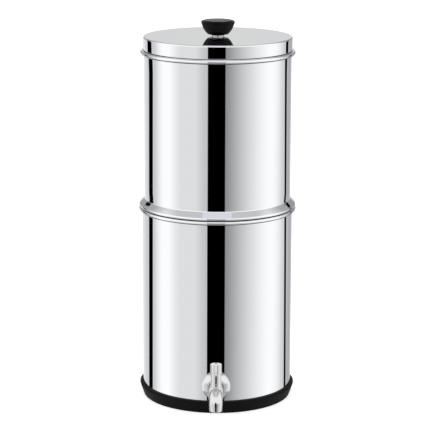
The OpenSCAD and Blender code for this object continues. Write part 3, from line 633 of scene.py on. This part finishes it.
# The barrel, its bend and the spout as one swept solid; the path lies in the plane X = 0.
def sweptSpout(name, steps=64, straight=12, bend=16, down=8):
    build = bmesh.new()
    barrel, bendRadius, bendY = tap["barrelRadius"], tap["bendRadius"], tap["bendY"]
    stations = []                                       # (y, z, angle of the ring's plane, radius)
    for i in range(straight + 1):
        stations.append((tap["backY"] + (bendY - tap["backY"]) * i / straight, tap["z"], 0, barrel))
    for i in range(1, bend + 1):
        a = radians(90 * i / bend)
        stations.append((bendY - bendRadius * sin(a), tap["z"] - bendRadius * (1 - cos(a)), a, barrel))
    spoutY, bendZ = bendY - bendRadius, tap["z"] - bendRadius
    for i in range(1, down + 1):
        t = i / down
        stations.append((spoutY, bendZ + (tap["outletZ"] - bendZ) * t, pi / 2,
                         barrel + (tap["outletRadius"] - barrel) * t))
    rings = []
    for y, z, a, radius in stations:
        across, upward = Vector((1, 0, 0)), Vector((0, -sin(a), cos(a)))
        rings.append([build.verts.new((Vector((0, y, z)) + radius * (cos(t) * across + sin(t) * upward)) * mm)
                      for t in (2 * pi * k / steps for k in range(steps))])
    for a, b in zip(rings, rings[1:]):
        for k in range(steps):
            n = (k + 1) % steps
            build.faces.new((a[k], b[k], b[n], a[n]))
    build.faces.new(rings[0])
    build.faces.new(rings[-1])
    return meshObject(name, build)


spoutBody = sweptSpout("tapBodyCasting")
boss = turned("boss", rodSection(tap["bossRadius"], tap["bossTop"] - tap["z"]), 64,
              moved(0, tap["axisY"], tap["z"]))
combined(spoutBody, [boss], "UNION")
# a fine even skin, relaxed a little, blends the barrel into the boss as a casting does
skin = spoutBody.modifiers.new("skin", "REMESH")
skin.mode = "VOXEL"
skin.voxel_size = tap["jointVoxel"] * mm
relax = spoutBody.modifiers.new("relax", "SMOOTH")
relax.factor = 0.5
relax.iterations = tap["jointPasses"]
applied(spoutBody, 60)
outletDrill = turned("bore", [
    (0, -1), (tap["outletBore"] + tap["outletFlare"], -1), (tap["outletBore"], 0),
    (tap["bore"], tap["funnelDepth"]), (0, tap["drillDepth"])], 64,
    moved(0, tap["bendY"] - tap["bendRadius"], tap["outletZ"]))
finished(combined(spoutBody, [outletDrill], sharpAngle=45), "base", "tap_steel", "tap_body")


def shankSection():
    bore, core = tap["bore"], tap["shankRadius"] - tap["shankCut"]
    length = tap["shankEnd"] - tap["backY"] - tap["shankGap"]
    return roundedOutline([(bore, 0, 0.2), (core, 0, 0.4), (core, length, 0.8), (bore, length, 0.4)], 15, 0.2)


shank = turned("tapShank", shankSection(), 96,
               moved(0, tap["backY"] + tap["shankGap"], tap["z"]) @ Matrix.Rotation(radians(-90), 4, "X"))
finished(shank, "base", "tap_steel")
thread("shankThread", {"Radius": tap["shankRadius"] * mm, "Pitch": tap["shankPitch"] * mm,
                       "Tooth": tap["shankTooth"] * mm, "Length": tap["shankThread"] * mm, "Steps": 40},
       moved(0, tap["shankEnd"] - 1, tap["z"]) @ alongY, "base", "tap_steel")

flange = {
    "rimRadius": 20.1, "rim": 1.6, "depth": 6.2, "hubRadius": 13.0, "hubTilt": 17.0, "beadRadius": 1.1,
    "beadGap": 0.15, "beadSink": 0.3, "wall": 1.2, "bore": 10.1,
}


# A shallow dome that is nowhere flat, with a rounded bead round the barrel.
def flangeSection():
    out, hub, depth, rim, wall = (flange[k] for k in ("rimRadius", "hubRadius", "depth", "rim", "wall"))
    chord = Vector((hub, depth)) - Vector((out, rim))
    tilt = radians(flange["hubTilt"])
    rimTilt = 2 * atan2(chord.y, -chord.x) - tilt
    dome = chord.length / (2 * sin((rimTilt - tilt) / 2))
    centre = (hub - dome * sin(tilt), depth - dome * cos(tilt))
    low, high = 90 - rimTilt * 180 / pi, 90 - flange["hubTilt"]
    bead, sunk = flange["beadRadius"], depth - flange["beadSink"]
    beadCentre = (flange["bore"] + flange["beadGap"] + bead, sunk)
    front = arcPoints(beadCentre, bead, 180, 0, 15) + arcPoints(centre, dome, high, low, 3)
    edge = [(out, rim - 0.4), (out, 0.3), (out - 0.3, 0), (out - wall, 0)]
    back = arcPoints(centre, dome - wall, low, high, 3)
    return [(flange["bore"], depth - wall), (flange["bore"], sunk)] + front + edge + back


wallFlange = turned("wallFlange", flangeSection(), 128, moved(0, tap["backY"], tap["z"]) @ alongY)
finished(wallFlange, "base", "tap_steel", "tap_flange")

bonnet = {
    "neckRadius": 7.3, "neckHeight": 13.8, "threadRadius": 6.5, "threadHeight": 4.0, "spigotRadius": 6.1,
    "spigotHeight": 4.2, "bore": 4.05,
}


def neckSection():
    bore, screw, neck, spigot = (bonnet[k] for k in ("bore", "threadRadius", "neckRadius", "spigotRadius"))
    low, high = -bonnet["threadHeight"], bonnet["neckHeight"]
    top = high + bonnet["spigotHeight"]
    return roundedOutline([
        (bore, low, 0.1), (screw, low, 0.4), (screw, 0, 0.1), (neck, 0, 0.35), (neck, high, 0.3),
        (spigot, high, 0.1), (spigot, top, 0.3), (bore, top, 0.2)], 15, 0.25)


neckPiece = turned("bonnetNeck", neckSection(), 96, moved(0, tap["axisY"], tap["bossTop"]))
finished(neckPiece, "base", "tap_steel", "tap_bonnet")

grip = {
    "radius": 8.0, "z": 68.7, "height": 13.5, "bevel": 0.9, "skirt": 4.0, "skirtWall": 1.6, "edge": 0.18,
    "slotWidth": 3.4, "slotZ": 77.6, "slotBack": 7.4, "slotDepth": 10, "toolReach": 12, "toolBelow": 3,
    "notchHeight": 2.2, "notchFrom": 171.0, "notchTo": 279.0,
    "leverLength": 30.0, "leverWidth": 3.2, "leverHeight": 4.8, "leverTop": 82.4, "leverDrop": 5.0,
    "leverBend": 1, "bendDrop": 0.12, "leverEdge": 1.4,
}


def capSection():
    out, inner, skirt, top = grip["radius"], grip["radius"] - grip["skirtWall"], grip["skirt"], grip["height"]
    return roundedOutline([
        (0, skirt, 0), (inner, skirt, 0.2), (inner, 0, 0.15), (out, 0, 0.25), (out, top, grip["bevel"]),
        (0, top, 0)], 15, 0.25)


def slotOutline():
    wide, front, back = grip["slotWidth"] / 2, -grip["toolReach"], grip["slotBack"]
    return [(-wide, front), (wide, front), (wide, back), (-wide, back)]


capBody = turned("gripCap", capSection(), 96, moved(0, tap["axisY"], grip["z"]))
slotTool = extruded("slot", slotOutline(), grip["slotDepth"], moved(0, tap["axisY"], grip["slotZ"]))
wedge = [(0, 0)] + arcPoints((0, 0), grip["toolReach"], grip["notchFrom"], grip["notchTo"])
notchTool = extruded("notch", wedge, grip["notchHeight"] + grip["toolBelow"],
                     moved(0, tap["axisY"], grip["z"] - grip["toolBelow"]))
combined(capBody, [slotTool, notchTool])
finished(softEdges(capBody, grip["edge"], 2), "handle", "tap_steel", "tap_cap")


# The lever's blade, drawn from the side: straight in the slot, then falling to a round tip.
def leverOutline():
    tipRadius, back, front = grip["leverHeight"] / 2, -grip["slotBack"], grip["radius"]
    top, bend, drop = grip["leverTop"], grip["leverBend"], grip["bendDrop"]
    seat = top - grip["leverHeight"]
    tip = Vector((grip["leverLength"] - tipRadius, top - grip["leverDrop"] - tipRadius))
    fall = atan2(grip["leverDrop"], tip.x - front) * 180 / pi
    tipArc = arcPoints(tip, tipRadius, -90 - fall, 90 - fall, 12)
    return [(back, seat), (front - bend, seat), (front + bend, seat - drop)] + tipArc + [
        (front + bend, top - drop), (front - bend, top), (back, top)]


onEdge = Matrix(((0, 0, 1, 0), (-1, 0, 0, 0), (0, 1, 0, 0), (0, 0, 0, 1)))     # the outline's X points to -Y
blade = extruded("leverBlade", leverOutline(), grip["leverWidth"],
                 moved(-grip["leverWidth"] / 2, tap["axisY"], 0) @ onEdge)
finished(softEdges(blade, grip["leverEdge"], 5), "handle", "tap_steel", "tap_lever")
dressed("innerHexNut", "tap_nut", "base", "plain_steel", 0.35)
# these are kept out of mirror images, so that the wall above the tap shows only the dark slot
tapInsides = [nodes[k] for k in ("tap_spindle", "tap_lever_pin", "stop_pin")]
for unmirrored in [neckPiece, capBody, blade] + tapInsides:
    unmirrored.visible_glossy = False
print("tap made")

studio = {
    # the tent's level by degrees to the right of the camera: its walls at eye height, and the brighter band
    # above them
    "walls": [(-180, 0.72), (-156, 0.76), (-143, 0.62), (-130, 0.60), (-114, 0.60), (-103, 0.83),
              (-98, 0.93), (-92, 0.98), (-80, 0.98), (-65, 0.79), (-58, 0.73), (-34, 0.73), (-28, 0.66),
              (-22, 0.58), (-15, 0.53), (14, 0.27), (21, 0.345), (31, 0.47), (41, 0.58), (51, 0.685),
              (61, 0.785), (70, 0.866), (80, 0.938), (90, 0.985), (100, 0.955), (111, 0.84),
              (120, 0.68), (139, 0.48), (150, 0.38), (162, 0.50), (172, 0.70), (180, 0.72)],
    "band": [(-180, 0.64), (-173, 0.60), (-164, 0.36), (-152, 0.34), (-128, 0.40), (-116, 0.62),
             (-98, 1.0), (98, 1.0), (116, 0.62), (128, 0.40), (152, 0.30), (164, 0.32), (173, 0.60),
             (180, 0.64)],
    # the two dark joins at the back, by elevation: middle of the left one and of the right one, half width of
    # each
    "joins": [(-30, 119.4, 124.0, 6.4, 4.2), (-17.6, 125.6, 134.6, 6.5, 3.8),
              (-12.95, 123.6, 130.3, 6.4, 3.5), (-12.38, 123.4, 129.8, 6.4, 3.5),
              (-12.28, 129.7, 136.8, 7.3, 3.8), (-8.3, 127.8, 133.0, 7.3, 4.1),
              (-7.5, 131.0, 133.9, 7.8, 5.2), (5, 132.0, 136.5, 5.8, 4.0), (8, 133.0, 137.5, 5.5, 4.0),
              (9, 134.0, 138.0, 0, 0), (15.9, 147.7, 147.7, 0, 0), (16.4, 147.2, 147.2, 2.0, 2.0),
              (20.5, 142.6, 142.6, 2.0, 2.0), (21, 142.0, 142.0, 2.0, 0), (24, 138.6, 138.6, 2.0, 0),
              (24.5, 138.0, 138.0, 0, 0)],
    "joinSoftness": 0.5, "slotLeft": -14.8, "slotRight": 12.4, "slotHigh": 10.0, "slotSoftness": 0.008,
    "slotFade": 3, "bandFrom": -5.0, "bandTo": 4.0, "ceilingFrom": 38.0, "ceilingTo": 56.0, "ceiling": 0.54,
    "coolFrom": 136, "cool": 1.03, "panelLevel": 0.70, "panelTint": (0.97, 0.96, 1.03), "panelHalf": 0.24,
    "panelSoftness": 0.012, "panelStart": 0.02, "panelFull": -0.06,
    "floorLevel": 0.44, "floorFrom": -33.0, "floorTo": -40.0,
    "wallGain": 1.1, "ambient": 0.92, "floorSize": 14.0, "paperLift": 0.55,
}

world = bpy.data.worlds.new("lightTent")
scene.world = world
world.use_nodes = True
sky = world.node_tree
sky.nodes.clear()
direction = addNode(sky, "ShaderNodeTexCoord").outputs["Generated"]
axes = addNode(sky, "ShaderNodeSeparateXYZ", {}, {0: direction})
towards = addNode(sky, "ShaderNodeMath", {"operation": "MULTIPLY"}, {0: axes.outputs["Y"], 1: -1.0})
azimuth = addNode(sky, "ShaderNodeMath", {"operation": "ARCTAN2"}, {0: axes.outputs["X"], 1: towards})
around = addNode(sky, "ShaderNodeMapRange", {}, {"Value": azimuth, "From Min": -pi, "From Max": pi})
rise = addNode(sky, "ShaderNodeMath", {"operation": "ARCSINE"}, {0: axes.outputs["Z"]})
elevation = addNode(sky, "ShaderNodeMapRange", {}, {"Value": rise, "From Min": -pi / 2, "From Max": pi / 2})


def grey(level):
    return (level, level, level, 1)


def fillRamp(ramp, stops):
    marks = ramp.color_ramp.elements
    while len(marks) > 1:
        marks.remove(marks[-1])
    for i, (position, colour) in enumerate(stops):
        mark = marks[0] if i == 0 else marks.new(position)
        mark.position = position
        mark.color = (*colour, 1)


# The back of the tent is a little bluer than its sides.
def wallColour(degrees, level):
    return (level, level, level * (studio["cool"] if abs(degrees) > studio["coolFrom"] else 1.0))


walls = addNode(sky, "ShaderNodeValToRGB", {}, {"Fac": around})
fillRamp(walls, [((a + 180) / 360, wallColour(a, v)) for a, v in studio["walls"]])
band = addNode(sky, "ShaderNodeValToRGB", {}, {"Fac": around})
fillRamp(band, [((a + 180) / 360, (v, v, v)) for a, v in studio["band"]])
raised = addNode(sky, "ShaderNodeMapRange", {"interpolation_type": "SMOOTHSTEP"}, {
    "Value": rise, "From Min": radians(studio["bandFrom"]), "From Max": radians(studio["bandTo"])})
sides = addNode(sky, "ShaderNodeMix", {"data_type": "RGBA"}, {0: raised, 6: walls, 7: band})

# the dark joins: how far each direction is from the middle of its join
joins = addNode(sky, "ShaderNodeValToRGB", {}, {"Fac": elevation})
fillRamp(joins, [((e + 90) / 180, (left / 180, right / 180, 0)) for e, left, right, _, _ in studio["joins"]])
widths = addNode(sky, "ShaderNodeValToRGB", {}, {"Fac": elevation})
fillRamp(widths, [((e + 90) / 180, (left / 180, right / 180, 0)) for e, _, _, left, right in studio["joins"]])
onRight = addNode(sky, "ShaderNodeMath", {"operation": "GREATER_THAN"}, {0: azimuth, 1: 0.0})
middles = addNode(sky, "ShaderNodeSeparateColor", {}, {0: joins})
halves = addNode(sky, "ShaderNodeSeparateColor", {}, {0: widths})
joinMiddle = addNode(sky, "ShaderNodeMix", {"data_type": "FLOAT"}, {
    0: onRight, 2: middles.outputs[0], 3: middles.outputs[1]})
joinHalf = addNode(sky, "ShaderNodeMix", {"data_type": "FLOAT"}, {
    0: onRight, 2: halves.outputs[0], 3: halves.outputs[1]})
turnedAway = addNode(sky, "ShaderNodeMath", {"operation": "ABSOLUTE"}, {0: azimuth})
share = addNode(sky, "ShaderNodeMath", {"operation": "DIVIDE"}, {0: turnedAway, 1: pi})
offset = addNode(sky, "ShaderNodeMath", {"operation": "SUBTRACT"}, {0: share, 1: joinMiddle})
reach = addNode(sky, "ShaderNodeMath", {"operation": "ABSOLUTE"}, {0: offset})
beyond = addNode(sky, "ShaderNodeMath", {"operation": "SUBTRACT"}, {0: reach, 1: joinHalf})
clearOfJoin = addNode(sky, "ShaderNodeMapRange", {}, {
    "Value": beyond, "From Min": -studio["joinSoftness"] / 180, "From Max": studio["joinSoftness"] / 180})

# the dark slot that the camera looks through
centred = addNode(sky, "ShaderNodeMath", {"operation": "ADD"}, {
    0: azimuth, 1: -radians((studio["slotLeft"] + studio["slotRight"]) / 2)})
away = addNode(sky, "ShaderNodeMath", {"operation": "ABSOLUTE"}, {0: centred})
slotHalf = radians((studio["slotRight"] - studio["slotLeft"]) / 2)
besideSlot = addNode(sky, "ShaderNodeMapRange", {}, {
    "Value": away, "From Min": slotHalf - studio["slotSoftness"],
    "From Max": slotHalf + studio["slotSoftness"]})
aboveSlot = addNode(sky, "ShaderNodeMapRange", {}, {
    "Value": rise, "From Min": radians(studio["slotHigh"] - studio["slotFade"]),
    "From Max": radians(studio["slotHigh"] + studio["slotFade"])})
clearOfSlot = addNode(sky, "ShaderNodeMath", {"operation": "MAXIMUM"}, {0: besideSlot, 1: aboveSlot})
openings = addNode(sky, "ShaderNodeMath", {"operation": "MULTIPLY"}, {0: clearOfJoin, 1: clearOfSlot})
dressedSides = addNode(sky, "ShaderNodeMix", {"data_type": "RGBA"}, {
    0: openings, 6: grey(0), 7: sides.outputs[2]})

# the ceiling with its bright panel, and the paper floor
panelX = addNode(sky, "ShaderNodeMath", {"operation": "ABSOLUTE"}, {0: axes.outputs["X"]})
onPanel = addNode(sky, "ShaderNodeMapRange", {}, {
    "Value": panelX, "From Min": studio["panelHalf"] + studio["panelSoftness"],
    "From Max": studio["panelHalf"] - studio["panelSoftness"]})
nearFront = addNode(sky, "ShaderNodeMapRange", {}, {
    "Value": axes.outputs["Y"], "From Min": studio["panelStart"], "From Max": studio["panelFull"]})
panel = addNode(sky, "ShaderNodeMath", {"operation": "MULTIPLY"}, {0: onPanel, 1: nearFront})
panelColour = tuple(studio["panelLevel"] * tint for tint in studio["panelTint"]) + (1,)
ceiling = addNode(sky, "ShaderNodeMix", {"data_type": "RGBA"}, {
    0: panel, 6: grey(studio["ceiling"]), 7: panelColour})
overhead = addNode(sky, "ShaderNodeMapRange", {"interpolation_type": "SMOOTHSTEP"}, {
    "Value": rise, "From Min": radians(studio["ceilingFrom"]), "From Max": radians(studio["ceilingTo"])})
tentTop = addNode(sky, "ShaderNodeMix", {"data_type": "RGBA"}, {
    0: overhead, 6: dressedSides.outputs[2], 7: ceiling.outputs[2]})
below = addNode(sky, "ShaderNodeMapRange", {"interpolation_type": "SMOOTHSTEP"}, {
    "Value": rise, "From Min": radians(studio["floorFrom"]), "From Max": radians(studio["floorTo"])})
tent = addNode(sky, "ShaderNodeMix", {"data_type": "RGBA"}, {
    0: below, 6: tentTop.outputs[2], 7: grey(studio["floorLevel"])})

# mirrors see the tent, the camera sees white, and everything else is lit evenly
rays = addNode(sky, "ShaderNodeLightPath")
seen = addNode(sky, "ShaderNodeMix", {"data_type": "RGBA"}, {
    0: rays.outputs["Is Glossy Ray"], 6: grey(studio["ambient"]), 7: tent.outputs[2]})
gain = addNode(sky, "ShaderNodeMapRange", {}, {
    "Value": rays.outputs["Is Glossy Ray"], "To Min": 1.0, "To Max": studio["wallGain"]})
shown = addNode(sky, "ShaderNodeMix", {"data_type": "RGBA"}, {
    0: rays.outputs["Is Camera Ray"], 6: seen.outputs[2], 7: grey(1)})
glow = addNode(sky, "ShaderNodeBackground", {}, {"Color": shown.outputs[2], "Strength": gain})
addNode(sky, "ShaderNodeOutputWorld", {}, {"Surface": glow})

# the paper floor, which is clear from below so that it doesn't hide the part there
floorBuild = bmesh.new()
bmesh.ops.create_circle(floorBuild, cap_ends=True, radius=studio["floorSize"], segments=96)
bmesh.ops.translate(floorBuild, verts=floorBuild.verts, vec=(0, 0, -0.0003))
floor = meshObject("studioFloor", floorBuild)
if floor.data.polygons[0].normal.z < 0:
    floor.data.flip_normals()
floorFinish = bpy.data.materials.new("whitePaperSweep")
floorFinish.use_nodes = True
paper = floorFinish.node_tree
paper.nodes.clear()
paperShade = addNode(paper, "ShaderNodeBsdfDiffuse", {}, {"Color": grey(0.8)})
paperRays = addNode(paper, "ShaderNodeLightPath")
paperLift = addNode(paper, "ShaderNodeMath", {"operation": "MULTIPLY"}, {
    0: paperRays.outputs["Is Camera Ray"], 1: studio["paperLift"]})
paperGlow = addNode(paper, "ShaderNodeEmission", {}, {"Strength": paperLift})
paperSum = addNode(paper, "ShaderNodeAddShader", {}, {0: paperShade, 1: paperGlow})
paperSide = addNode(paper, "ShaderNodeNewGeometry")
paperClear = addNode(paper, "ShaderNodeBsdfTransparent")
paperSeen = addNode(paper, "ShaderNodeMixShader", {}, {
    0: paperSide.outputs["Backfacing"], 1: paperSum, 2: paperClear})
addNode(paper, "ShaderNodeOutputMaterial", {}, {"Surface": paperSeen})
floor.data.materials.append(floorFinish)
floor.visible_glossy = False


softboxes = {
    "keySoftbox": {"place": (-1.3, -1.6, 1.8), "power": 9},
    "fillSoftbox": {"place": (1.6, -0.9, 1.3), "power": 5},
}
softboxSize = 1.2
softboxAim = (0, 0, 0.3)

for lampName, softbox in softboxes.items():
    lamp = bpy.data.lights.new(lampName, "AREA")
    lamp.shape = "SQUARE"
    lamp.size = softboxSize
    lamp.energy = softbox["power"]
    lampObject = bpy.data.objects.new(lampName, lamp)
    lampObject.location = softbox["place"]
    aim = Vector(softboxAim) - Vector(softbox["place"])
    lampObject.rotation_euler = aim.to_track_quat("-Z", "Y").to_euler()
    lampObject.visible_glossy = False
    scene.collection.objects.link(lampObject)

view = {
    "lens": 164.505, "sensor": 36.0, "height": 0.8857, "distance": 2.77723, "pitch": 12.592,
    "yaw": -0.0682, "roll": 0.1927, "swing": 0.4,
}
cameraData = bpy.data.cameras.new("productCamera")
cameraData.lens = view["lens"]
cameraData.sensor_width = view["sensor"]
cameraData.clip_end = 100
camera = bpy.data.objects.new("productCamera", cameraData)
scene.collection.objects.link(camera)
pitch, yaw, roll = (radians(view[k]) for k in ("pitch", "yaw", "roll"))
forward = Vector((sin(yaw) * cos(pitch), cos(yaw) * cos(pitch), -sin(pitch)))
right = Vector((cos(yaw), -sin(yaw), 0))
up = right.cross(forward)
sideways, upwards = right * cos(roll) + up * sin(roll), -right * sin(roll) + up * cos(roll)
turn = Matrix((sideways, upwards, -forward)).transposed().to_4x4()
swing = Matrix.Rotation(radians(view["swing"]), 4, "Z")
camera.matrix_world = swing @ Matrix.Translation((0, -view["distance"], view["height"])) @ turn
scene.camera = camera
scene.view_settings.view_transform = "Standard"

print("stage, light and camera made")
